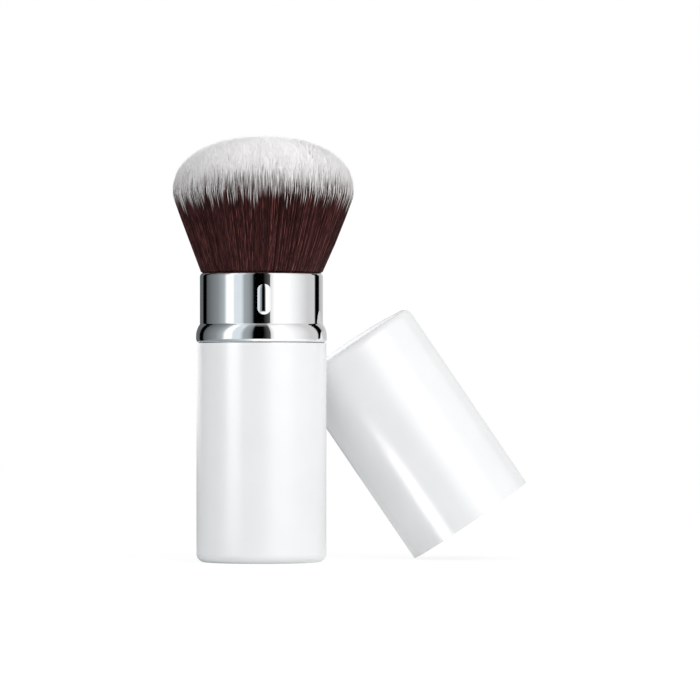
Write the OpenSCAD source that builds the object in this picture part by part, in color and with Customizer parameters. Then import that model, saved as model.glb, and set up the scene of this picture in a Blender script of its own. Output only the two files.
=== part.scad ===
// Travel kabuki brush: a weighted handle in a drawn metal shell, a chromed collar
// that holds a dense domed tuft, and a pull-off cap that leans behind the handle.
// Millimetres. The origin is the centre of the handle's foot, +Z runs up the brush,
// and the cap stands off to +X with its mouth down.

/* [Handle] */
// Outer diameter of the handle shell
handle_od = 32; // [26:0.5:40]
// Height of the handle shell
handle_h = 53.8; // [42:0.2:80]
// Wall of the drawn handle shell
handle_wall = 0.5; // [0.3:0.05:0.8]
// Outer radius of the rounded foot edge
foot_r = 2; // [1:0.1:4]

/* [Core] */
// Wall of the moulded core
core_wall = 1.4; // [1:0.1:2]
// Thickness of the core's floor
core_floor = 1.2; // [0.8:0.1:3]
// Stiffening ribs inside the core
core_ribs = 8; // [4:1:12]
// Thickness of one rib of the core
core_rib_t = 1.2; // [0.8:0.1:2]
// Wall of the pocket that holds the slug
pocket_wall = 1.2; // [0.8:0.1:2]
// Space for the ribs between the pocket and the core's wall
pocket_space = 1.8; // [1:0.1:4]
// Height of the steel slug in the pocket
weight_h = 9; // [4:0.5:16]

/* [Collar] */
// How far the neck is set in from the handle's side
neck_inset = 0.85; // [0.5:0.05:2]
// Height of the neck above the band
neck_h = 12.55; // [10:0.05:16]
// Height of the bulged band
band_h = 4.8; // [4:0.1:8]
// How far the band stands out from the neck
band_out = 0.95; // [0.5:0.05:1.2]
// Radius of the hollow where the band meets the neck
crease_r = 0.4; // [0.2:0.1:0.8]
// Wall of the collar
collar_wall = 0.5; // [0.3:0.05:0.6]
// Outer radius of the rim curled in at the top
rim_r = 1; // [0.7:0.1:1.4]
// Length of the skirt hidden in the handle
skirt_h = 9; // [6:0.5:14]
// Raised beads round the neck that grip the cap
beads = 3; // [2:1:6]
// Length of one bead
bead_l = 7.4; // [5:0.1:8]
// Width of one bead
bead_w = 3.2; // [2:0.1:5]
// Height of a bead above the neck
bead_out = 0.38; // [0.2:0.02:0.6]
// How far the beads sit below the middle of the neck
bead_drop = 0.55; // [0:0.05:1]
// Turn of the first bead from the front, towards +X
bead_turn = 3.6; // [-20:0.1:20]

/* [Tuft] */
// Largest diameter of the tuft
tuft_d = 44.9; // [36:0.1:54]
// Height of the tuft above the collar's rim
tuft_h = 33.6; // [24:0.1:44]
// Height of the domed part of the tuft
dome_h = 14.2; // [8:0.1:20]
// Fullness of the dome, 2 for an ellipse and more for a squarer shoulder
dome_power = 2.3; // [2:0.05:3]
// Strands along each side of the bundle's grid
strand_grid = 20; // [18:1:21]
// How unevenly long the strands are
strand_jitter = 0.5; // [0:0.1:1.5]

/* [Tuft cup] */
// Wall of the cup that holds the hair roots
cup_wall = 0.4; // [0.3:0.05:0.5]
// Depth of the cup
cup_h = 10; // [8:0.1:12]
// Thickness of the slice of glued roots that the strands stand on
slice_h = 1.5; // [1:0.1:3]

/* [Cap] */
// Wall of the drawn cap
cap_wall = 0.5; // [0.3:0.05:0.8]
// Outer radius of the cap's rounded closed end
cap_end_r = 2.2; // [1:0.1:4]
// Rise of the cap's slightly domed end
cap_crown = 1; // [0.5:0.1:3]
// Air above the tuft when the cap is on
cap_air = 7.7; // [3:0.1:15]
// How far the cap's liner reaches past the neck when the cap is on
liner_over = 3.9; // [1:0.1:8]
// Wall of the liner between its ribs
liner_wall = 0.8; // [0.6:0.05:1.2]
// Ribs outside the liner
liner_ribs = 12; // [6:1:18]
// Height of the liner's ribs
liner_rib_h = 0.3; // [0.2:0.05:0.6]
// Lean of the cap from upright
cap_lean = 34.2; // [20:0.1:50]
// Place of the cap's mouth centre along X
cap_x = 52; // [48:0.1:70]

/* [Fits] */
// Radial play between the neck and the liner that slides over it
neck_play = 0.15; // [0.1:0.01:0.25]
// Glue gap between pieces fitted into or onto each other
glue_gap = 0.05; // [0.03:0.01:0.08]
// Least air between the leaning cap and the handle
lean_gap = 0.3; // [0.2:0.05:1]
// Air between the cap's lowest edge and the table
table_gap = 0.1; // [0.05:0.05:0.5]

/* [Hidden] */
$fn = 96;

handle_r = handle_od / 2;
shell_in_r = handle_r - handle_wall;
neck_r = handle_r - neck_inset;
bore_r = neck_r - collar_wall;
band_r = neck_r + band_out;
band_foot_z = handle_h + glue_gap;
band_top_z = handle_h + band_h;
rim_z = band_top_z + neck_h;

// The band turns in over its foot, is straight for a little and then goes up to the
// neck in one long swell with a small hollow at its end
band_turn_h = 1.1;
band_turn_in = 0.72;
band_straight_h = 0.6;

// The core fills the shell up to the skirt, and its spigot stands inside the skirt
core_r = shell_in_r - glue_gap;
core_in_r = core_r - core_wall;
core_z = handle_wall + glue_gap;
core_edge_r = max(foot_r - handle_wall - glue_gap, glue_gap);
shoulder_in_z = handle_h - skirt_h - glue_gap;
spigot_r = bore_r - glue_gap;

// The slug lies on the core's floor, in a pocket that leaves room for the ribs
weight_z = core_z + core_floor;
pocket_out_r = core_in_r - pocket_space;
pocket_r = pocket_out_r - pocket_wall;
weight_r = pocket_r - glue_gap;
weight_chamfer = 0.5;

// The tuft's cup is pushed up against the rim's curl and stands on the spigot
cup_top_z = rim_z - rim_r - glue_gap;
cup_z = cup_top_z - cup_h;
cup_r = bore_r - glue_gap;
cup_in_r = cup_r - cup_wall;
plug_z = cup_z + cup_wall + glue_gap;
rim_in_r = neck_r - rim_r;
bundle_r = min(cup_in_r, rim_in_r) - 2 * glue_gap;

// The tuft spills over the rim, widens up to its shoulder and closes in a dome
tuft_r = tuft_d / 2;
top_z = rim_z + tuft_h;
shoulder_z = top_z - dome_h;
spill_r = neck_r - 0.25;
spill_rise = 2;
flare_bow = 0.12;
strand_low = 0.88;
strand_high = 0.84;
strand_bend = 0.84;
jitter_seed = 7;

liner_r = neck_r + neck_play;
liner_out_r = liner_r + liner_wall;
liner_rib_r = liner_out_r + liner_rib_h;
liner_l = neck_h + liner_over;
liner_inset = 0.4;
liner_flange = 2;
liner_lead = 0.5;
liner_rib_t = 1;
cap_in_r = liner_rib_r + glue_gap;
cap_r = cap_in_r + cap_wall;
cap_l = neck_h + tuft_h + cap_air + cap_wall;
cap_z = cap_r * sin(cap_lean) + table_gap;

// The edge of the cap's end is a ring of balls that clears the upright handle. Each ball
// asks for its own distance, and the one that asks for most decides.
ring_r = cap_r - cap_end_r;
ring_x = cap_x - (cap_l - cap_crown - cap_end_r) * sin(cap_lean);
clear_r = max(handle_r, band_r) + cap_end_r + lean_gap;
cap_y = max([for (a = [180:0.5:270])
    let (x = ring_x + ring_r * cos(a) * cos(cap_lean))
    abs(x) < clear_r ? sqrt(clear_r * clear_r - x * x) - ring_r * sin(a) : 0]);

white_lacquer = "#f2f4f5";
chrome_silver = "#c9cdd1";
hair_brown = "#3a2020";

// Points of an arc about [x, z] with radius r, from angle a to angle b
function arc(x, z, r, a, b, steps) =
    [for (i = [0:steps]) let (t = a + (b - a) * i / steps) [x + r * cos(t), z + r * sin(t)]];

// Radius of the arc that bulges by rise over a half chord of run
function bulge_r(rise, run) = (rise * rise + run * run) / (2 * rise);

// Half outline of a closed cup: flat bottom, rounded edge, open top
module cup_half(r, h, edge_r) {
    square([r - edge_r, h]);
    translate([0, edge_r]) square([r, h - edge_r]);
    translate([r - edge_r, edge_r]) circle(edge_r);
}

// The same with a closed end that swells down by rise, its lowest point at z = 0
module crowned_half(r, h, edge_r, rise) {
    reach_r = bulge_r(rise, r - edge_r);
    edge_a = asin((r - edge_r) / reach_r) - 90;
    ball_r = reach_r + edge_r;
    polygon(concat([[0, h]], arc(0, ball_r, ball_r, -90, edge_a, 12),
                   arc(r - edge_r, rise + edge_r, edge_r, edge_a, 0, 10), [[r, h]]));
}

// A drawn cup with an even wall, its closed end at z = 0
module drawn_cup(r, h, edge_r, wall) {
    rotate_extrude() difference() {
        cup_half(r, h, edge_r);
        translate([0, wall]) cup_half(r - wall, h, edge_r - wall);
    }
}

module handle_shell() {
    color(white_lacquer) drawn_cup(handle_r, handle_h, foot_r, handle_wall);
}

// One moulding: a tube with a rounded foot, a pocket on its floor, a shoulder under
// the skirt and a spigot up to the tuft's cup, stiffened by ribs
module handle_core() {
    spigot_in_r = spigot_r - core_wall;
    spigot_top_z = cup_z - glue_gap;
    shoulder_under_z = shoulder_in_z - core_wall;
    pocket_top_z = weight_z + weight_h;
    color("gainsboro") {
        rotate_extrude() polygon(concat(
            [[0, core_z]],
            arc(core_r - core_edge_r, core_z + core_edge_r, core_edge_r, -90, 0, 6),
            [[core_r, shoulder_in_z], [spigot_r, shoulder_in_z],
             [spigot_r, spigot_top_z], [spigot_in_r, spigot_top_z],
             [spigot_in_r, shoulder_under_z], [core_in_r, shoulder_under_z],
             [core_in_r, weight_z], [pocket_out_r, weight_z],
             [pocket_out_r, pocket_top_z], [pocket_r, pocket_top_z],
             [pocket_r, weight_z], [0, weight_z]]));
        for (i = [0:core_ribs - 1]) rotate([0, 0, 360 * i / core_ribs])
            translate([pocket_out_r - pocket_wall / 2, -core_rib_t / 2, core_z + core_floor / 2])
                cube([pocket_space + pocket_wall / 2 + core_wall / 2, core_rib_t,
                      shoulder_in_z - core_wall / 2 - core_z - core_floor / 2]);
    }
}

module base_weight() {
    color("slategray") translate([0, 0, weight_z]) rotate_extrude() polygon([
        [0, 0], [weight_r - weight_chamfer, 0], [weight_r, weight_chamfer],
        [weight_r, weight_h - weight_chamfer], [weight_r - weight_chamfer, weight_h],
        [0, weight_h]]);
}

// Outline of the collar: skirt, band and neck outside, then the bore back down
function collar_outline() =
    let (turn_r = bulge_r(band_turn_in, band_turn_h),
         turn_z = band_foot_z + band_turn_h,
         widest_z = turn_z + band_straight_h,
         swell_h = band_top_z - widest_z,
         bend_r = bulge_r(band_out, swell_h),
         bend_a = asin(swell_h / bend_r),
         swell_r = bend_r - crease_r,
         curl_z = rim_z - rim_r)
    concat([[neck_r, handle_h - skirt_h], [neck_r, band_foot_z]],
           arc(band_r - turn_r, turn_z, turn_r, -asin(band_turn_h / turn_r), 0, 5),
           arc(band_r - swell_r, widest_z, swell_r, 0, bend_a, 8),
           arc(neck_r + crease_r, band_top_z, crease_r, 180 + bend_a, 180, 4),
           arc(rim_in_r, curl_z, rim_r, 0, 90, 6),
           arc(rim_in_r, curl_z, rim_r - collar_wall, 90, 0, 4),
           [[bore_r, handle_h - skirt_h]]);

// A bead is a long dome pressed out of the neck: a fat capsule sunk into the wall
module bead() {
    round_off = neck_r - sqrt(neck_r * neck_r - bead_w * bead_w / 4);
    dome_r = bulge_r(bead_out + round_off, bead_w / 2);
    run = bead_l - 2 * sqrt(bead_out * (2 * dome_r - bead_out));
    translate([neck_r + bead_out - dome_r, 0, band_top_z + neck_h / 2 - bead_drop]) {
        translate([0, 0, -run / 2]) cylinder(h = run, r = dome_r);
        for (end_z = [-run / 2, run / 2]) translate([0, 0, end_z]) sphere(dome_r);
    }
}

module collar() {
    color(chrome_silver) {
        rotate_extrude() polygon(collar_outline());
        intersection() {
            translate([0, 0, band_top_z]) difference() {
                cylinder(h = neck_h, r = neck_r + 2 * bead_out);
                translate([0, 0, -neck_h / 2]) cylinder(h = 2 * neck_h, r = bore_r + collar_wall / 2);
            }
            for (i = [0:beads - 1]) rotate([0, 0, bead_turn - 90 + 360 * i / beads]) bead();
        }
    }
}

module tuft_cup() {
    color("silver") translate([0, 0, cup_z]) drawn_cup(cup_r, cup_h, 2 * cup_wall, cup_wall);
}

module root_plug() {
    color("peru") translate([0, 0, plug_z]) rotate_extrude()
        cup_half(cup_in_r - glue_gap, rim_z - slice_h - plug_z, cup_wall);
}

// Radius of the tuft's outline at height z, from the rim up to the shoulder
function flare_r(z) =
    let (share = max(min((z - rim_z) / (shoulder_z - rim_z), 1), 0))
    spill_r + (tuft_r - spill_r) * share * (1 + flare_bow * (1 - share));

// Height of the dome over a distance r from the axis
function dome_z(r) =
    shoulder_z + dome_h * pow(max(1 - pow(r / tuft_r, dome_power), 0), 1 / dome_power);

// A point of a square of half side 1, laid over a disc of radius 1 with no crowding
function disc_point(u, v) =
    u == 0 && v == 0 ? [0, 0]
    : abs(u) > abs(v) ? u * [cos(45 * v / u), sin(45 * v / u)]
    : v * [sin(45 * u / v), cos(45 * u / v)];

// Four-sided strands on a shared slice. Each strand starts on its whole cell of the
// grid and is thinner above it, so neighbours share an edge at the root and never cross.
module bristles() {
    n = strand_grid;
    low_z = rim_z + spill_rise;
    jitter = rands(-strand_jitter, 0, n * n, jitter_seed);
    knots = [for (j = [0:n]) for (i = [0:n]) disc_point(2 * i / n - 1, 2 * j / n - 1)];
    cells = [for (j = [0:n - 1]) for (i = [0:n - 1])
        let (at = [i + j * (n + 1), i + 1 + j * (n + 1),
                   i + 1 + (j + 1) * (n + 1), i + (j + 1) * (n + 1)],
             mid = (knots[at[0]] + knots[at[1]] + knots[at[2]] + knots[at[3]]) / 4)
        [at, mid, dome_z(norm(mid) * tuft_r) + jitter[i + n * j]]];

    // A strand's ring at height z: its cell, drawn in about its middle
    function strand_ring(cell, z, thick) = [for (k = cell[0])
        let (p = (cell[1] + (knots[k] - cell[1]) * thick) * flare_r(z)) [p[0], p[1], z]];

    root = [for (k = knots) [k[0] * bundle_r, k[1] * bundle_r, rim_z]];
    rim = concat([for (i = [0:n - 1]) i], [for (j = [0:n - 1]) n + j * (n + 1)],
                 [for (i = [n:-1:1]) i + n * (n + 1)], [for (j = [n:-1:1]) j * (n + 1)]);
    foot = [for (k = rim) [root[k][0], root[k][1], rim_z - slice_h]];
    bodies = [for (c = cells) each concat(
        strand_ring(c, low_z, strand_low),
        strand_ring(c, low_z + (c[2] - low_z) * strand_bend, strand_high),
        [[c[1][0] * tuft_r, c[1][1] * tuft_r, c[2]]])];
    per_strand = 9;
    first_foot = len(root);
    first_body = first_foot + len(foot);

    walls = [for (s = [0:len(cells) - 1]) for (k = [0:3])
        let (next = (k + 1) % 4, at = cells[s][0], b = first_body + s * per_strand)
        each [[at[k], b + next, at[next]], [at[k], b + k, b + next],
              [b + k, b + 4 + next, b + next], [b + k, b + 4 + k, b + 4 + next],
              [b + 4 + k, b + 8, b + 4 + next]]];
    side = [for (k = [0:len(rim) - 1]) let (next = (k + 1) % len(rim))
        each [[rim[k], rim[next], first_foot + next],
              [rim[k], first_foot + next, first_foot + k]]];
    under = [for (k = [1:len(rim) - 2]) [first_foot, first_foot + k, first_foot + k + 1]];

    color(hair_brown) polyhedron(concat(root, foot, bodies), concat(walls, side, under));
}

// Puts a cap piece, drawn with its mouth at z = 0, where the cap leans
module as_leaning() {
    translate([cap_x, cap_y, cap_z]) rotate([0, -cap_lean, 0]) children();
}

module cap_shell() {
    color(white_lacquer) as_leaning() translate([0, 0, cap_l]) mirror([0, 0, 1])
        rotate_extrude() difference() {
            crowned_half(cap_r, cap_l, cap_end_r, cap_crown);
            translate([0, cap_wall])
                crowned_half(cap_r - cap_wall, cap_l, cap_end_r - cap_wall, cap_crown);
        }
}

// A sleeve with a full-width flange and a lead-in at the mouth, and thin ribs that
// centre it in the shell
module cap_liner() {
    top_z = liner_inset + liner_l;
    color("whitesmoke") as_leaning() {
        rotate_extrude() polygon([
            [liner_r + liner_lead, liner_inset], [liner_rib_r, liner_inset],
            [liner_rib_r, liner_inset + liner_flange], [liner_out_r, liner_inset + liner_flange],
            [liner_out_r, top_z], [liner_r, top_z], [liner_r, liner_inset + liner_lead]]);
        intersection() {
            translate([0, 0, liner_inset + liner_flange / 2])
                cylinder(h = liner_l - liner_flange, r = liner_rib_r);
            for (i = [0:liner_ribs - 1]) rotate([0, 0, 360 * i / liner_ribs])
                translate([liner_out_r - liner_wall / 2, -liner_rib_t / 2, liner_inset])
                    cube([liner_wall + liner_rib_h, liner_rib_t, liner_l]);
        }
    }
}

handle_shell();
handle_core();
base_weight();
collar();
tuft_cup();
root_plug();
bristles();
cap_shell();
cap_liner();
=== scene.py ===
"""A white travel brush with a full domed tuft, standing, and its cap leaning beside it.

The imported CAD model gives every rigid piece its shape, place and size. This script gives
them their finishes, grows the real tuft where the CAD model has plain strands, and sets up
a plain white studio. Sizes are in metres, or in millimetres where a name ends in _MM.
"""

import math

import bpy
import numpy as np
from mathutils import Matrix, Vector


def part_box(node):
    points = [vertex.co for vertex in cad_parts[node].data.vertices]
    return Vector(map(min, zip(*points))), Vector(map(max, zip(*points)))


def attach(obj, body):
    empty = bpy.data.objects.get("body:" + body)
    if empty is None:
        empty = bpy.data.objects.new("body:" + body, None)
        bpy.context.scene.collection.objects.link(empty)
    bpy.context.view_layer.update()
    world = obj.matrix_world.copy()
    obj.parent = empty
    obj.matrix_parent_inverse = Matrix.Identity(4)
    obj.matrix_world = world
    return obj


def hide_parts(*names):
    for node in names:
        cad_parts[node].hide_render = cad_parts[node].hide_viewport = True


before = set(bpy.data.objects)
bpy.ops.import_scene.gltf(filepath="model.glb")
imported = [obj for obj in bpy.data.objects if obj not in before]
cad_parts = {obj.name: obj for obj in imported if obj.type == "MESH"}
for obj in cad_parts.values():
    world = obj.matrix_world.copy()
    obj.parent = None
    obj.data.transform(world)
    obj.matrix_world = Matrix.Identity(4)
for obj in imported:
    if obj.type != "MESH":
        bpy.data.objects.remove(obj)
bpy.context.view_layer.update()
MM = 0.001

# Places that come from the CAD model's pieces
BAND_OUT = 0.95 * MM
TIPS_OVER = 0.1 * MM
PLUG_AIR = 0.1 * MM
RIM_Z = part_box("collar")[1].z
NECK_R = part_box("collar")[1].x - BAND_OUT
TUFT_TOP_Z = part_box("bristles")[1].z + TIPS_OVER
OPENING_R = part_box("root_plug")[1].x - PLUG_AIR

# The cap's radius, place and lean in degrees, which the CAD model was given
CAP_R = 16.95 * MM
CAP_X = 52 * MM
CAP_LEAN = 34.2

# The tuft's outline: a flare that bows out a little, and a dome on its shoulder
SPILL_R = NECK_R - 0.25 * MM
TUFT_R = 22.45 * MM
FLARE_BOW = 0.06
DOME_H = 14.2 * MM
DOME_POWER = 2.3
SHOULDER_Z = TUFT_TOP_Z - DOME_H

# Heights over the rim at which the hair opens, and its share of the outline's width there
OPENING_MM = (-0.05, 0.08, 0.3)
OPENING_SHARES = (OPENING_R / SPILL_R, 0.985, 1)

# How far the top leans to the right. Most of it is reached low down
LEAN = 0.55 * MM
LEAN_POWER = 0.35

# The side fibres' radius, and how far all the tips end below the outline
FIBRE_R = 0.075 * MM
TIP_DROP = 0.1 * MM

# The side fibres: the inmost one's share of the radius, the root's height over the rim, the
# shares of the height where they bend, and the share of the thickness at each ring
SIDE_FROM = 0.93
SIDE_ROOT_MM = -0.9
SIDE_STEPS = (0.35, 0.66, 0.86, 1.0)
SIDE_THICKNESS = (1, 1, 1, 1, 1, 0.95, 0.6)

# How uneven their tips are, how far each strays from its place, and which of them may be
# pale: this share of those outside this share of the radius
SIDE_RAGGED = 0.35 * MM
SIDE_STRAY = 0.007
PALE_FROM = 0.98
PALE_SHARE = 0.4

# The dome's fibres: the outmost one's share of the radius, how much of each tip is built,
# its rings, and the white that they have over the side fibres
TIP_FIBRE_R = 1.2 * FIBRE_R
DOME_TO = 0.955
DOME_RAGGED = 0.18 * MM
DOME_SLANT = 0.02
TIP_LENGTH = 6 * MM
TIP_STEPS = (1, 0.4, 0)
TIP_THICKNESS = (1.1, 1.0)
TIP_WHITE = 1.6 * MM

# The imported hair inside: how far it keeps under the fibres, how rough it is, where its
# white starts, and the shares of the dome's area inside its outmost and inmost ring
CORE_SHARE = 0.95
CORE_UNDER = 0.9 * MM
CORE_ROOT_MM = -1.2
CORE_SIDE_INSET = 3 * MM
CORE_RIDGE = 0.05 * MM
CORE_WHITE_Z = SHOULDER_Z + 3.2 * MM
CORE_WHITE_SCATTER = 2.2 * MM
CORE_AREAS = (0.995, 0.003)

# The white tips: their length at the shoulder, and how much they gain with height
WHITE_MM = 2.8
WHITE_SCATTER_MM = 1.5
WHITE_GAIN = 0.12

# The strand map: its length along the hair, where the brown fades out, and the share of its
# width that one fibre's own width takes
FADE_SPAN = 60 * MM
FADE_BELOW = 1.2 * MM
FADE_ABOVE = 1.6 * MM
STRAND_WIDTH = 1 / 400

# Random draws, and the golden ratio, which spreads fibres evenly
SEED = 11
GOLDEN = 0.618034

# The Mix node's colour sockets, which share their names with its other sockets
MIX_FIRST = 6
MIX_SECOND = 7
MIX_RESULT = 2


# Node helpers
def feed(tree, socket, value):
    """Give a socket a link, where the value is another socket, or else a colour or a number."""
    if isinstance(value, bpy.types.NodeSocket):
        tree.links.new(value, socket)
    elif isinstance(value, tuple):
        socket.default_value = (*value, 1)
    else:
        socket.default_value = value


def maths(tree, operation, *values):
    """The result of a Math node on numbers and sockets."""
    node = tree.nodes.new("ShaderNodeMath")
    node.operation = operation
    for socket, value in zip(node.inputs, values):
        feed(tree, socket, value)
    return node.outputs[0]


def split(tree, vector):
    """The X, Y and Z of a vector."""
    node = tree.nodes.new("ShaderNodeSeparateXYZ")
    tree.links.new(vector, node.inputs["Vector"])
    return node.outputs


def spread(tree, value, low, high, at_low=0.35, at_high=0.65, smooth=False):
    """The value, from at_low to at_high, laid over low to high."""
    node = tree.nodes.new("ShaderNodeMapRange")
    if smooth:
        node.interpolation_type = "SMOOTHSTEP"
    ends = {"From Min": at_low, "From Max": at_high, "To Min": low, "To Max": high}
    for socket, number in ends.items():
        node.inputs[socket].default_value = number
    tree.links.new(value, node.inputs["Value"])
    return node.outputs["Result"]


def blend_colours(tree, share, first, second):
    """A mix of two colours, each a tuple or a socket."""
    node = tree.nodes.new("ShaderNodeMix")
    node.data_type = "RGBA"
    feed(tree, node.inputs["Factor"], share)
    feed(tree, node.inputs[MIX_FIRST], first)
    feed(tree, node.inputs[MIX_SECOND], second)
    return node.outputs[MIX_RESULT]


def blend_shaders(tree, share, first, second):
    """A mix of two shaders, where share is a number or a socket."""
    node = tree.nodes.new("ShaderNodeMixShader")
    for socket, value in zip(node.inputs, (share, first, second)):
        feed(tree, socket, value)
    return node.outputs[0]


def glowing(tree, colour=(1.0, 1.0, 1.0), strength=1.0):
    """An emission shader."""
    node = tree.nodes.new("ShaderNodeEmission")
    feed(tree, node.inputs["Color"], colour)
    feed(tree, node.inputs["Strength"], strength)
    return node.outputs[0]


def object_place(tree):
    """The shaded point in the object's own coordinates."""
    return tree.nodes.new("ShaderNodeTexCoord").outputs["Object"]


def noise(tree, scale, detail, vector=None, stretch=None):
    """A noise texture, where scale is waves per metre, or per unit of the given vector."""
    if vector is None:
        vector = object_place(tree)
    if stretch is not None:
        mapping = tree.nodes.new("ShaderNodeMapping")
        mapping.inputs["Scale"].default_value = stretch
        tree.links.new(vector, mapping.inputs["Vector"])
        vector = mapping.outputs["Vector"]
    texture = tree.nodes.new("ShaderNodeTexNoise")
    texture.inputs["Scale"].default_value = scale
    texture.inputs["Detail"].default_value = detail
    tree.links.new(vector, texture.inputs["Vector"])
    return texture.outputs["Fac"]


def empty_material(name):
    """A material whose node tree holds only its output."""
    made = bpy.data.materials.new(name)
    made.use_nodes = True
    tree = made.node_tree
    tree.nodes.clear()
    return made, tree, tree.nodes.new("ShaderNodeOutputMaterial")


def new_material(name, metallic=0.0):
    """A material with a Principled shader."""
    made, tree, output = empty_material(name)
    shader = tree.nodes.new("ShaderNodeBsdfPrincipled")
    shader.inputs["Metallic"].default_value = metallic
    tree.links.new(shader.outputs["BSDF"], output.inputs["Surface"])
    return made, tree, shader


def vary(tree, shader, cloud, colours, grain, roughness):
    """Let one texture blend the shader's two colours, and another vary its roughness."""
    colour = blend_colours(tree, spread(tree, cloud, 0, 1), *colours)
    tree.links.new(colour, shader.inputs["Base Color"])
    tree.links.new(spread(tree, grain, *roughness), shader.inputs["Roughness"])


def bump(tree, shader, height, strength, distance):
    """Bumps that follow a texture. They are distance high at the full strength of 1."""
    node = tree.nodes.new("ShaderNodeBump")
    node.inputs["Strength"].default_value = strength
    node.inputs["Distance"].default_value = distance
    tree.links.new(height, node.inputs["Height"])
    tree.links.new(node.outputs["Normal"], shader.inputs["Normal"])


# Finishes
def white_lacquer():
    """Sprayed gloss white over metal: clean, with a faint orange peel."""
    made, tree, shader = new_material("white_lacquer")
    cloud = noise(tree, 90, 2)
    peel = noise(tree, 900, 2)
    vary(tree, shader, cloud, ((0.85, 0.858, 0.863), (0.87, 0.876, 0.88)), peel, (0.2, 0.26))
    bump(tree, shader, peel, 0.05, 0.02 * MM)
    return made


def collar_chrome():
    """Bright plating with hairline wear."""
    made, tree, shader = new_material("collar_chrome", metallic=1.0)
    hairlines = noise(tree, 400, 3, stretch=(1, 1, 14))
    cloud = noise(tree, 120, 2)
    vary(tree, shader, cloud, ((0.9, 0.91, 0.92), (0.94, 0.945, 0.95)), hairlines, (0.03, 0.05))
    return made


def moulded(name, colour, roughness):
    """Moulded plastic: matt, with a fine grain."""
    made, tree, shader = new_material(name)
    grain = noise(tree, 1800, 3)
    cloud = noise(tree, 150, 2)
    darker = tuple(0.93 * part for part in colour)
    vary(tree, shader, cloud, (darker, colour), grain, (roughness - 0.05, roughness + 0.07))
    bump(tree, shader, grain, 0.15, 0.02 * MM)
    return made


def bare_metal(name, colour, roughness, stretch):
    """Turned or drawn metal with fine marks along one way."""
    made, tree, shader = new_material(name, metallic=1.0)
    marks = noise(tree, 500, 4, stretch=stretch)
    darker = tuple(0.85 * part for part in colour)
    vary(tree, shader, marks, (darker, colour), marks, (roughness - 0.06, roughness + 0.08))
    bump(tree, shader, marks, 0.1, 0.01 * MM)
    return made


def cast_resin():
    """Amber glue, a little cloudy."""
    made, tree, shader = new_material("root_resin")
    cloud = noise(tree, 400, 4)
    vary(tree, shader, cloud, ((0.32, 0.19, 0.07), (0.45, 0.3, 0.13)), cloud, (0.2, 0.35))
    bump(tree, shader, cloud, 0.1, 0.05 * MM)
    return made


def dyed_hair():
    """Synthetic fibre, brown with a white tip.

    The map named strand holds each fibre's shade across, and along it the distance from
    where the brown ends, with that place at one half.
    """
    made, tree, shader = new_material("dyed_hair")
    strand = tree.nodes.new("ShaderNodeUVMap")
    strand.uv_map = "strand"
    shade, along, _ = split(tree, strand.outputs["UV"])
    flecks = noise(tree, 1.0, 2, vector=strand.outputs["UV"], stretch=(90, 20, 1))
    brown = blend_colours(tree, shade, (0.032, 0.0068, 0.0068), (0.225, 0.076, 0.071))
    brown = blend_colours(tree, spread(tree, flecks, 0, 0.9, 0.4, 0.6), brown, (0.026, 0.005, 0.005))
    white = blend_colours(tree, shade, (0.89, 0.875, 0.868), (0.945, 0.94, 0.935))

    fade = tree.nodes.new("ShaderNodeValToRGB")
    fade.color_ramp.interpolation = "EASE"
    all_brown, all_white = fade.color_ramp.elements
    all_brown.position = 0.5 - FADE_BELOW / FADE_SPAN
    all_brown.color = (0, 0, 0, 1)
    all_white.position = 0.5 + FADE_ABOVE / FADE_SPAN
    all_white.color = (1, 1, 1, 1)
    tree.links.new(along, fade.inputs["Fac"])
    colour = blend_colours(tree, fade.outputs["Color"], brown, white)
    tree.links.new(colour, shader.inputs["Base Color"])
    tree.links.new(spread(tree, flecks, 0.42, 0.55), shader.inputs["Roughness"])
    shader.inputs["Specular IOR Level"].default_value = 0.15
    return made


# The tuft's shape
def flare_r(z):
    """Radius of the tuft's outline at height z. Above the shoulder it stays the same."""
    share = np.clip((z - RIM_Z) / (SHOULDER_Z - RIM_Z), 0, 1)
    return SPILL_R + (TUFT_R - SPILL_R) * share * (1 + FLARE_BOW * (1 - share))


def dome_z(r):
    """Height of the dome at a distance r from the axis."""
    inside = np.clip(1 - (r / TUFT_R) ** DOME_POWER, 0, 1)
    return SHOULDER_Z + DOME_H * inside ** (1 / DOME_POWER)


def spill(z):
    """How much of the outline's width the hair has at height z, as it opens over the rim."""
    return np.interp((z - RIM_Z) / MM, OPENING_MM, OPENING_SHARES)


def over_rim(heights_mm):
    """Heights that are given in millimetres over the rim."""
    return [RIM_Z + height * MM for height in heights_mm]


def leaned(points):
    """Points of the tuft, moved as its top leans a little to the right."""
    share = np.clip((points[..., 2] - RIM_Z) / (TUFT_TOP_Z - RIM_Z), 0, 1)
    moved = points.copy()
    moved[..., 0] += LEAN * share ** LEAN_POWER
    return moved


def polar(r, turn, z):
    """Points at a distance r from the axis, turned about it."""
    return np.stack([r * np.cos(turn), r * np.sin(turn), z], -1)


# Meshes of fibres, each with three sides, a closed root and a pointed tip
SIDES = 3


def fibre_points(path, radius, turn):
    """The points of each fibre: a ring at each place of its path, and its tip."""
    count = len(path)
    tangent = np.gradient(path, axis=1)
    tangent /= np.linalg.norm(tangent, axis=2, keepdims=True)
    across = np.stack([-np.sin(turn), np.cos(turn), np.zeros(count)], 1)[:, None, :]
    across = across - tangent * (across * tangent).sum(2, keepdims=True)
    across /= np.linalg.norm(across, axis=2, keepdims=True)
    other = np.cross(tangent, across)
    angle = 2 * np.pi * np.arange(SIDES) / SIDES + np.pi / 2
    ring = across[:, :-1, None] * np.cos(angle)[:, None] + other[:, :-1, None] * np.sin(angle)[:, None]
    ring = path[:, :-1, None] + ring * radius[:, :, None, None]
    return np.concatenate([ring.reshape(count, -1, 3), path[:, -1:]], 1)


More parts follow.
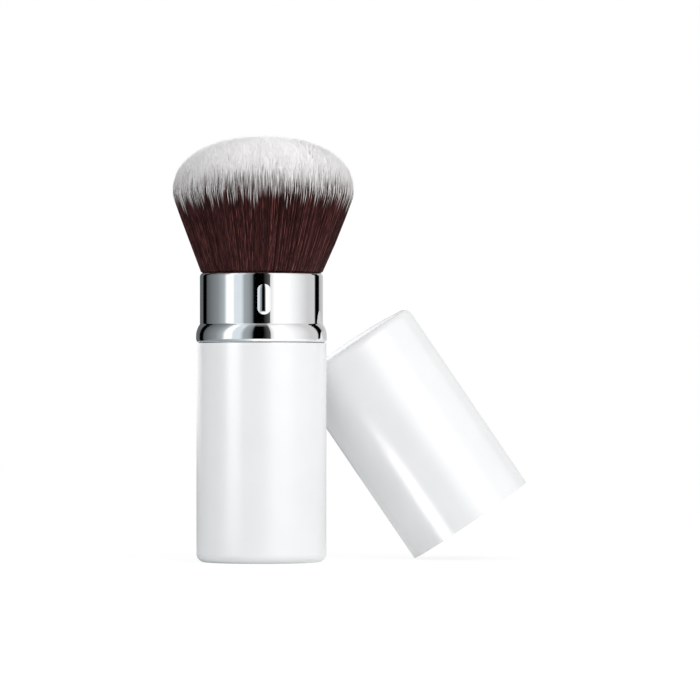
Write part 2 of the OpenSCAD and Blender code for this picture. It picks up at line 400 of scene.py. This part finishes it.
def fibre_faces(rings):
    """The corners of one fibre's quads, and of the triangles at its tip and root."""
    side = np.arange(SIDES)
    after = (side + 1) % SIDES
    quad = np.stack([side, after, after + SIDES, side + SIDES], 1)
    quads = np.concatenate([quad + k * SIDES for k in range(rings - 2)])
    last = (rings - 2) * SIDES
    tips = np.stack([last + side, last + after, np.full(SIDES, last + SIDES)], 1)
    return quads, np.concatenate([tips, [[2, 1, 0]]])


def write_maps(mesh, u, v):
    """Write the strand map, and the same again as the map for baking."""
    both = np.stack([u, v], -1).astype(np.float32).ravel()
    for layer in ("strand", "OFBake"):
        mesh.uv_layers.new(name=layer).uv.foreach_set("vector", both)


def placed(name, data):
    """A new object in the scene."""
    made = bpy.data.objects.new(name, data)
    bpy.context.scene.collection.objects.link(made)
    return made


def fibres(name, path, radius, turn, shade, along):
    """One piece of many fibres.

    path is fibres by rings by 3, radius is fibres by rings, without the tip, and along
    holds the map's second value at each ring. turn is each fibre's angle about the
    brush's axis, in radians.
    """
    count, rings = path.shape[:2]
    points = fibre_points(leaned(path), radius, turn)
    quads, triangles = fibre_faces(rings)
    local = np.concatenate([quads.ravel(), triangles.ravel()])
    corners = local + points.shape[1] * np.arange(count)[:, None]
    sizes = np.tile([4] * len(quads) + [3] * len(triangles), count)

    mesh = bpy.data.meshes.new(name)
    mesh.vertices.add(count * points.shape[1])
    mesh.vertices.foreach_set("co", points.astype(np.float32).ravel())
    mesh.loops.add(corners.size)
    mesh.loops.foreach_set("vertex_index", corners.astype(np.int32).ravel())
    mesh.polygons.add(len(sizes))
    mesh.polygons.foreach_set("loop_start", (np.cumsum(sizes) - sizes).astype(np.int32))
    mesh.polygons.foreach_set("use_smooth", np.ones(len(sizes), bool))

    across = np.concatenate([np.tile([0, 1, 1, 0], len(quads)), np.tile([0, 1, 0.5], len(triangles))])
    u = shade[:, None] * (1 - STRAND_WIDTH) + STRAND_WIDTH * across
    write_maps(mesh, u, along[:, local // SIDES])
    mesh.update(calc_edges=True)
    mesh.validate()
    return placed(name, mesh)


# The tuft's three pieces
def white_from(turn, tip_z, rng):
    """Length of each fibre's white tip, in slow waves round the tuft."""
    wave = 0.7 * np.cos(2 * turn) - 0.4 * np.cos(turn) + 0.3 * np.sin(5 * turn + 1)
    length = WHITE_MM + wave + rng.normal(0, WHITE_SCATTER_MM, len(turn))
    return length * MM + WHITE_GAIN * (tip_z - SHOULDER_Z)


def along_map(white, to_tip):
    """The strand map's second value, at each ring's distance from its fibre's tip."""
    return 0.5 + (white[:, None] - to_tip) / FADE_SPAN


def side_fibres(count=4800):
    """Full-length fibres of the outer layers, from inside the collar to the dome's edge."""
    rng = np.random.default_rng(SEED)
    number = np.arange(count)
    turn = 2 * np.pi * (number + rng.uniform(-0.5, 0.5, count)) / count
    rho = np.sqrt(SIDE_FROM ** 2 + (1 - SIDE_FROM ** 2) * (number * GOLDEN % 1))
    tip_z = dome_z(rho * TUFT_R) + rng.normal(-TIP_DROP, SIDE_RAGGED, count)
    heights = over_rim((SIDE_ROOT_MM, *OPENING_MM))
    low = heights[-1]
    z = np.stack([np.full(count, height) for height in heights] +
                 [low + (tip_z - low) * share for share in SIDE_STEPS], 1)
    stray = rng.normal(0, SIDE_STRAY, (count, 2))
    rise = (z - heights[0]) / (tip_z - heights[0])[:, None]
    angle = turn[:, None] + stray[:, :1] * rise
    r = rho[:, None] * flare_r(z) * spill(z) * (1 + stray[:, 1:] * rise * (1 - rise) * 2)
    path = polar(r, angle, z)
    thick = FIBRE_R * rng.uniform(0.75, 1.2, count)
    radius = thick[:, None] * np.array(SIDE_THICKNESS)
    pale = (rho > PALE_FROM) & (rng.uniform(0, 1, count) < PALE_SHARE)
    shade = np.where(pale, rng.uniform(0.35, 1, count), 0.45 * rng.beta(1.2, 2.4, count))
    white = white_from(turn, tip_z, rng)
    step = np.linalg.norm(np.diff(path, axis=1), axis=2)
    to_tip = np.concatenate([np.cumsum(step[:, ::-1], 1)[:, ::-1], np.zeros((count, 1))], 1)
    return fibres("side_fibres", path, radius, turn, shade, along_map(white, to_tip))


def dome_fibres(count=19000):
    """The tips of the inner fibres, which make the dome."""
    rng = np.random.default_rng(SEED + 1)
    turn = rng.uniform(0, 2 * np.pi, count)
    rho = np.sqrt(rng.uniform(0, DOME_TO ** 2, count))
    tip_z = dome_z(rho * TUFT_R) + rng.normal(-TIP_DROP, DOME_RAGGED, count)
    to_tip = TIP_LENGTH * np.array(TIP_STEPS)
    z = tip_z[:, None] - to_tip
    slant = rng.normal(0, DOME_SLANT, (count, 2))
    path = polar(rho[:, None] * flare_r(z), turn[:, None], z)
    path[:, :, :2] += slant[:, None, :] * (z - z[:, :1])[:, :, None]
    thick = TIP_FIBRE_R * rng.uniform(0.85, 1.2, count)
    radius = thick[:, None] * np.array(TIP_THICKNESS)
    shade = np.clip(rng.normal(0.5, 0.12, count), 0, 1)
    white = white_from(turn, tip_z, rng) + TIP_WHITE
    return fibres("dome_fibres", path, radius, turn, shade, along_map(white, to_tip))


def tuft_core(columns=700, side_rings=5, top_rings=14):
    """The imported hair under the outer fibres: a closed body, brown below and white on top."""
    rng = np.random.default_rng(SEED + 2)
    turn = np.linspace(0, 2 * np.pi, columns, endpoint=False)
    side_z = np.array([
        *over_rim((CORE_ROOT_MM, *OPENING_MM)),
        *np.linspace(RIM_Z + CORE_SIDE_INSET, SHOULDER_Z - CORE_SIDE_INSET, side_rings),
    ])
    top_r = TUFT_R * np.sqrt(np.linspace(*CORE_AREAS, top_rings))
    ring_r = CORE_SHARE * np.concatenate([flare_r(side_z) * spill(side_z), top_r])
    ring_z = np.concatenate([side_z, dome_z(top_r) - CORE_UNDER])
    rings = len(ring_r)
    ridge = rng.normal(0, CORE_RIDGE, columns)
    grow = np.clip(ring_r / (CORE_SHARE * TUFT_R), 0, 1)
    r = ring_r[:, None] + ridge * grow[:, None]
    points = polar(r, turn, np.repeat(ring_z[:, None], columns, 1))
    ends = [[0, 0, side_z[0]], [0, 0, TUFT_TOP_Z - CORE_UNDER]]
    points = leaned(np.concatenate([points.reshape(-1, 3), ends]))

    pairs = [(i, (i + 1) % columns) for i in range(columns)]
    faces = [(k + i, k + j, k + columns + j, k + columns + i)
             for k in range(0, (rings - 1) * columns, columns) for i, j in pairs]
    last = (rings - 1) * columns
    bottom = rings * columns
    top = bottom + 1
    for i, j in pairs:
        faces.append((j, i, bottom))
        faces.append((last + i, last + j, top))
    mesh = bpy.data.meshes.new("tuft_core")
    mesh.from_pydata(points.tolist(), [], faces)
    mesh.polygons.foreach_set("use_smooth", np.ones(len(faces), bool))

    shade = np.clip(rng.beta(1.3, 3.0, columns) * 0.7, 0, 1)
    start = rng.normal(0, CORE_WHITE_SCATTER, columns)
    ring_of = np.concatenate([np.repeat(np.arange(rings), columns), [0, rings - 1]])
    column_of = np.concatenate([np.tile(np.arange(columns), rings), [0, 0]])
    tone = 0.5 + (ring_z[ring_of] - CORE_WHITE_Z + start[column_of]) / FADE_SPAN
    corner = np.empty(len(mesh.loops), np.int32)
    mesh.loops.foreach_get("vertex_index", corner)
    write_maps(mesh, shade[column_of][corner], tone[corner])
    return placed("tuft_core", mesh)


# The studio as bright metal mirrors it. Each stop of a ring is in degrees from the front,
# positive to the right, with the brightness there and its tint
COOL = (0.92, 1.0, 1.05)
PLAIN = (1.0, 1.0, 1.0)
WALL_RING = (
    (-180, 0.14, COOL), (-142, 0.13, COOL), (-139, 0.0, PLAIN), (-125, 0.0, PLAIN), (-122, 0.1, COOL),
    (-108, 0.17, COOL), (-88, 0.27, COOL), (-74, 0.45, COOL), (-71, 0.58, COOL), (-67, 1.09, PLAIN),
    (-53, 1.09, PLAIN), (-50.5, 0.82, COOL), (-37.5, 0.81, COOL), (-34, 0.65, COOL), (-31, 0.41, COOL),
    (-22, 0.33, COOL), (-16, 0.2, COOL), (-13.5, 0.0, PLAIN), (5, 0.0, PLAIN), (17, 0.1, PLAIN),
    (18, 0.76, PLAIN), (22, 0.9, PLAIN), (25, 1.09, PLAIN), (52, 1.09, PLAIN), (68, 0.94, PLAIN),
    (87, 0.74, PLAIN), (98, 0.63, PLAIN), (119, 0.65, PLAIN), (122, 0.0, PLAIN), (138, 0.0, PLAIN),
    (141, 0.5, PLAIN), (180, 0.7, PLAIN),
)
FLOOR_RING = (
    (-180, 0.6, COOL), (-120, 0.3, COOL), (-80, 0.34, COOL), (-50, 0.55, COOL), (-35, 0.65, COOL),
    (-27, 0.75, COOL), (-14, 1.09, PLAIN), (60, 1.09, PLAIN), (130, 0.9, PLAIN), (180, 0.6, PLAIN),
)

# The floor's radius, and how far out on it the floor's ring ends and the walls' ring begins
FLOOR_R = 1.4
FLOOR_RING_R = 0.1
WALL_RING_R = 0.16
LACQUERED = ("handle_shell", "cap_shell")


def ring_group(name, stops):
    """A node group: what a ring of the studio shows in a level direction."""
    group = bpy.data.node_groups.new(name, "ShaderNodeTree")
    group.interface.new_socket("Direction", in_out="INPUT", socket_type="NodeSocketVector")
    group.interface.new_socket("Brightness", in_out="OUTPUT", socket_type="NodeSocketColor")
    start = group.nodes.new("NodeGroupInput")
    end = group.nodes.new("NodeGroupOutput")
    x, y, _ = split(group, start.outputs["Direction"])
    angle = maths(group, "ARCTAN2", x, maths(group, "MULTIPLY", y, -1))
    share = maths(group, "MULTIPLY_ADD", angle, 0.5 / math.pi, 0.5)
    node = group.nodes.new("ShaderNodeValToRGB")
    elements = node.color_ramp.elements
    for number, (degrees, bright, tint) in enumerate(stops):
        place = (degrees + 180) / 360
        stop = elements[number] if number < 2 else elements.new(place)
        stop.position = place
        stop.color = (*(bright * part for part in tint), 1)
    group.links.new(share, node.inputs["Fac"])
    group.links.new(node.outputs["Color"], end.inputs["Brightness"])
    return group


def shown_by(tree, ring, direction):
    """What a ring's node group shows in a direction."""
    node = tree.nodes.new("ShaderNodeGroup")
    node.node_tree = ring
    tree.links.new(direction, node.inputs["Direction"])
    return node.outputs["Brightness"]


def studio_world(walls):
    """White to the camera, an even soft light on the object, and walls that bright metal mirrors."""
    world = bpy.data.worlds.new("studio")
    world.use_nodes = True
    tree = world.node_tree
    tree.nodes.clear()
    output = tree.nodes.new("ShaderNodeOutputWorld")
    direction = tree.nodes.new("ShaderNodeTexCoord").outputs["Generated"]
    ray = tree.nodes.new("ShaderNodeLightPath").outputs
    x, _, z = split(tree, direction)
    ceiling = spread(tree, z, 0, 1, at_low=0.8, at_high=0.98)
    mirrored = blend_colours(tree, ceiling, shown_by(tree, walls, direction), (0.5, 0.5, 0.5))
    from_left = spread(tree, x, 0, 1, at_low=-0.6, at_high=1)
    light = blend_colours(tree, from_left, (0.74, 0.75, 0.765), (0.96, 0.955, 0.95))
    colour = blend_colours(tree, ray["Is Glossy Ray"], light, mirrored)
    seen = maths(tree, "MAXIMUM", ray["Is Camera Ray"], ray["Is Transmission Ray"])
    background = tree.nodes.new("ShaderNodeBackground")
    tree.links.new(blend_colours(tree, seen, colour, PLAIN), background.inputs["Color"])
    tree.links.new(background.outputs[0], output.inputs["Surface"])
    bpy.context.scene.world = world


def studio_floor(walls, near):
    """A round white floor that keeps a faint shadow. Bright metal mirrors the rings on it."""
    steps = 96
    turns = [2 * math.pi * i / steps for i in range(steps)]
    rim = [(FLOOR_R * math.cos(turn), FLOOR_R * math.sin(turn), 0) for turn in turns]
    mesh = bpy.data.meshes.new("floor")
    mesh.from_pydata(rim, [], [tuple(range(steps))])
    floor = placed("floor", mesh)

    made, tree, output = empty_material("floor_white")
    place = object_place(tree)
    ray = tree.nodes.new("ShaderNodeLightPath").outputs
    matt = tree.nodes.new("ShaderNodeBsdfDiffuse")
    matt.inputs["Color"].default_value = (0.8, 0.8, 0.8, 1)
    away = tree.nodes.new("ShaderNodeVectorMath")
    away.operation = "LENGTH"
    tree.links.new(place, away.inputs[0])
    far = spread(tree, away.outputs["Value"], 0, 1, FLOOR_RING_R, WALL_RING_R)
    mirrored = blend_colours(tree, far, shown_by(tree, near, place), shown_by(tree, walls, place))
    to_metal = blend_shaders(tree, ray["Is Glossy Ray"], matt.outputs[0], glowing(tree, mirrored))
    to_camera = blend_shaders(tree, 0.8, matt.outputs[0], glowing(tree, strength=1.08))
    surface = blend_shaders(tree, ray["Is Camera Ray"], to_metal, to_camera)
    tree.links.new(surface, output.inputs["Surface"])
    mesh.materials.append(made)


# Lamps, and cards that the lacquer mirrors
def around(degrees, distance, height):
    """A place round the brush. Zero degrees is the camera's side, and 90 is to its right."""
    angle = math.radians(degrees)
    return (distance * math.sin(angle), -distance * math.cos(angle), height)


def seen_by(name, pieces):
    """A collection of the only pieces that a light reaches."""
    made = bpy.data.collections.new(name + "_reaches")
    for piece in pieces:
        made.objects.link(piece)
    return made


def lamp(name, wide, high, watts, reaches=()):
    """An area lamp, out of the camera's sight, on every piece or only on the given ones."""
    light = bpy.data.lights.new(name, "AREA")
    light.shape = "RECTANGLE"
    light.size = wide
    light.size_y = high
    light.energy = watts
    made = placed(name, light)
    made.visible_camera = False
    if reaches:
        made.light_linking.receiver_collection = seen_by(name, reaches)
    return made


def soft_lamp(name, place, aim_z, wide, watts, reaches=()):
    """A square lamp that isn't mirrored, aimed at a height on the brush's axis."""
    made = lamp(name, wide, wide, watts, reaches)
    made.location = place
    made.rotation_euler = (Vector((0, 0, aim_z)) - Vector(place)).to_track_quat("-Z", "Y").to_euler()
    made.visible_glossy = False
    return made


def falloff(tree, value, half, soft):
    """One in the middle and nothing at the edge, half away, over the outer share named soft."""
    return spread(tree, maths(tree, "ABSOLUTE", value), 1, 0, half * (1 - soft), half, smooth=True)


def soft_edges(tree, place, half, soft):
    """The falloff of both ways across a card or lamp, whose middle is at zero."""
    x, y, _ = split(tree, place)
    across = falloff(tree, x, half[0], soft[0])
    return maths(tree, "MULTIPLY", across, falloff(tree, y, half[1], soft[1]))


def card(name, place, wide, high, glow, soft):
    """An upright glowing card with soft edges, facing the brush, that only the lacquer mirrors."""
    x, y = wide / 2, high / 2
    mesh = bpy.data.meshes.new(name)
    mesh.from_pydata([(-x, -y, 0), (x, -y, 0), (x, y, 0), (-x, y, 0)], [], [(0, 1, 2, 3)])
    made = placed(name, mesh)
    out = Vector((-place[0], -place[1], 0)).normalized()
    across = Vector((0, 0, 1)).cross(out).normalized()
    turned = Matrix((across, out.cross(across), out)).transposed().to_4x4()
    made.matrix_world = Matrix.Translation(place) @ turned

    material, tree, output = empty_material(name)
    shape = soft_edges(tree, object_place(tree), (x, y), soft)
    both = tree.nodes.new("ShaderNodeAddShader")
    tree.links.new(glowing(tree, strength=maths(tree, "MULTIPLY", shape, glow)), both.inputs[0])
    tree.links.new(tree.nodes.new("ShaderNodeBsdfTransparent").outputs[0], both.inputs[1])
    tree.links.new(both.outputs[0], output.inputs["Surface"])
    mesh.materials.append(material)

    made.light_linking.receiver_collection = seen_by(name, [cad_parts[node] for node in LACQUERED])
    made.visible_camera = False
    made.visible_diffuse = False
    made.visible_transmission = False
    made.visible_shadow = False


def strip_lamp():
    """A low strip near the cap, which the camera sees mirrored as a streak down the cap's front.

    The strip stands where the line of sight goes after the cap has mirrored it, with its
    edges soft and its beam narrow, so that it doesn't reach round the cap.
    """
    streak_degrees = -25
    above_mouth = 5 * MM
    off_cap = 10 * MM
    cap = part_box("cap_shell")
    lean = math.radians(CAP_LEAN)
    turn = math.radians(streak_degrees)
    cap_up = Vector((-math.sin(lean), 0, math.cos(lean)))
    cap_side = Vector((math.cos(lean), 0, math.sin(lean)))
    sight = Vector((0, 1, 0))
    mouth = Vector((CAP_X, (cap[0].y + cap[1].y) / 2, CAP_R * math.sin(lean)))
    normal = math.sin(turn) * cap_side - math.cos(turn) * sight
    mirrored = sight + 2 * math.cos(turn) * normal
    middle = mouth + CAP_R * normal + above_mouth * cap_up + off_cap * mirrored
    across = cap_up.cross(-mirrored).normalized()
    turned = Matrix((across, cap_up, across.cross(cap_up))).transposed().to_4x4()

    strip = lamp("strip_low", wide=10 * MM, high=76 * MM, watts=0.0024,
                 reaches=[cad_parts["cap_shell"]])
    strip.matrix_world = Matrix.Translation(middle) @ turned @ Matrix.Rotation(math.pi, 4, "Y")
    strip.visible_diffuse = False
    strip.data.spread = math.radians(50)
    strip.data.use_shadow = False
    strip.data.use_nodes = True
    tree = strip.data.node_tree
    place = tree.nodes.new("ShaderNodeVectorMath")
    place.operation = "SUBTRACT"
    place.inputs[1].default_value = (0.5, 0.5, 0)
    tree.links.new(tree.nodes.new("ShaderNodeNewGeometry").outputs["Parametric"], place.inputs[0])
    shape = soft_edges(tree, place.outputs["Vector"], (0.5, 0.5), (0.9, 0.95))
    tree.links.new(shape, tree.nodes["Emission"].inputs["Strength"])


def studio_lights(tuft):
    """A soft key on everything, a fill on the lacquer, two lamps on the tuft, cards and a strip."""
    soft_lamp("soft_key", around(35, 1.1, 0.9), aim_z=0.05, wide=0.9, watts=6)
    fill = soft_lamp("fill_left", around(-105, 0.9, -0.1), aim_z=0.03, wide=0.7, watts=0.9,
                     reaches=[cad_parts[node] for node in LACQUERED])
    fill.data.use_shadow = False
    soft_lamp("tuft_right", around(80, 0.7, 0.4), aim_z=0.09, wide=0.5, watts=3.4, reaches=tuft)
    soft_lamp("tuft_left", around(-70, 0.7, 0.35), aim_z=0.09, wide=0.5, watts=1.8, reaches=tuft)
    card("card_left", around(-49, 0.6, 0.312), wide=0.32, high=0.6, glow=6.3, soft=(0.45, 0.08))
    card("card_right", around(33, 0.8, 0.45), wide=1.1, high=0.9, glow=2.7, soft=(0.75, 0.1))
    card("card_behind", around(-155, 0.9, 0.45), wide=0.9, high=0.9, glow=1.4, soft=(0.3, 0.1))
    strip_lamp()


def camera():
    """The photograph's view: level, from the front, with a long lens."""
    data = bpy.data.cameras.new("camera")
    data.lens = 225.6
    data.sensor_width = 36
    data.shift_y = 0.0664
    data.clip_start = 0.01
    made = placed("camera", data)
    made.location = (21.8 * MM, -1080 * MM, 40.7 * MM)
    made.rotation_euler = (math.radians(90), 0, 0)
    bpy.context.scene.camera = made


FINISHES = {
    "white_lacquer": white_lacquer(),
    "collar_chrome": collar_chrome(),
    "core_plastic": moulded("core_plastic", (0.8, 0.8, 0.78), 0.5),
    "liner_plastic": moulded("liner_plastic", (0.84, 0.84, 0.83), 0.42),
    "weight_steel": bare_metal("weight_steel", (0.56, 0.55, 0.54), 0.35, (1, 1, 6)),
    "cup_aluminium": bare_metal("cup_aluminium", (0.85, 0.86, 0.87), 0.3, (1, 1, 0.2)),
    "root_resin": cast_resin(),
    "dyed_hair": dyed_hair(),
}
SLOT_OF = {
    "handle_shell": "white_lacquer",
    "cap_shell": "white_lacquer",
    "collar": "collar_chrome",
    "handle_core": "core_plastic",
    "cap_liner": "liner_plastic",
    "base_weight": "weight_steel",
    "tuft_cup": "cup_aluminium",
    "root_plug": "root_resin",
    "bristles": "dyed_hair",
}
for node, slot in SLOT_OF.items():
    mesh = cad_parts[node].data
    mesh.materials.clear()
    mesh.materials.append(FINISHES[slot])

TUFT = (tuft_core(), side_fibres(), dome_fibres())
for piece in TUFT:
    piece.data.materials.append(FINISHES["dyed_hair"])
    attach(piece, "brush")
    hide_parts("bristles")

WALLS = ring_group("studio_walls", WALL_RING)
studio_world(WALLS)
studio_floor(WALLS, ring_group("studio_floor", FLOOR_RING))
studio_lights(TUFT)
camera()
bpy.context.scene.view_settings.view_transform = "Standard"
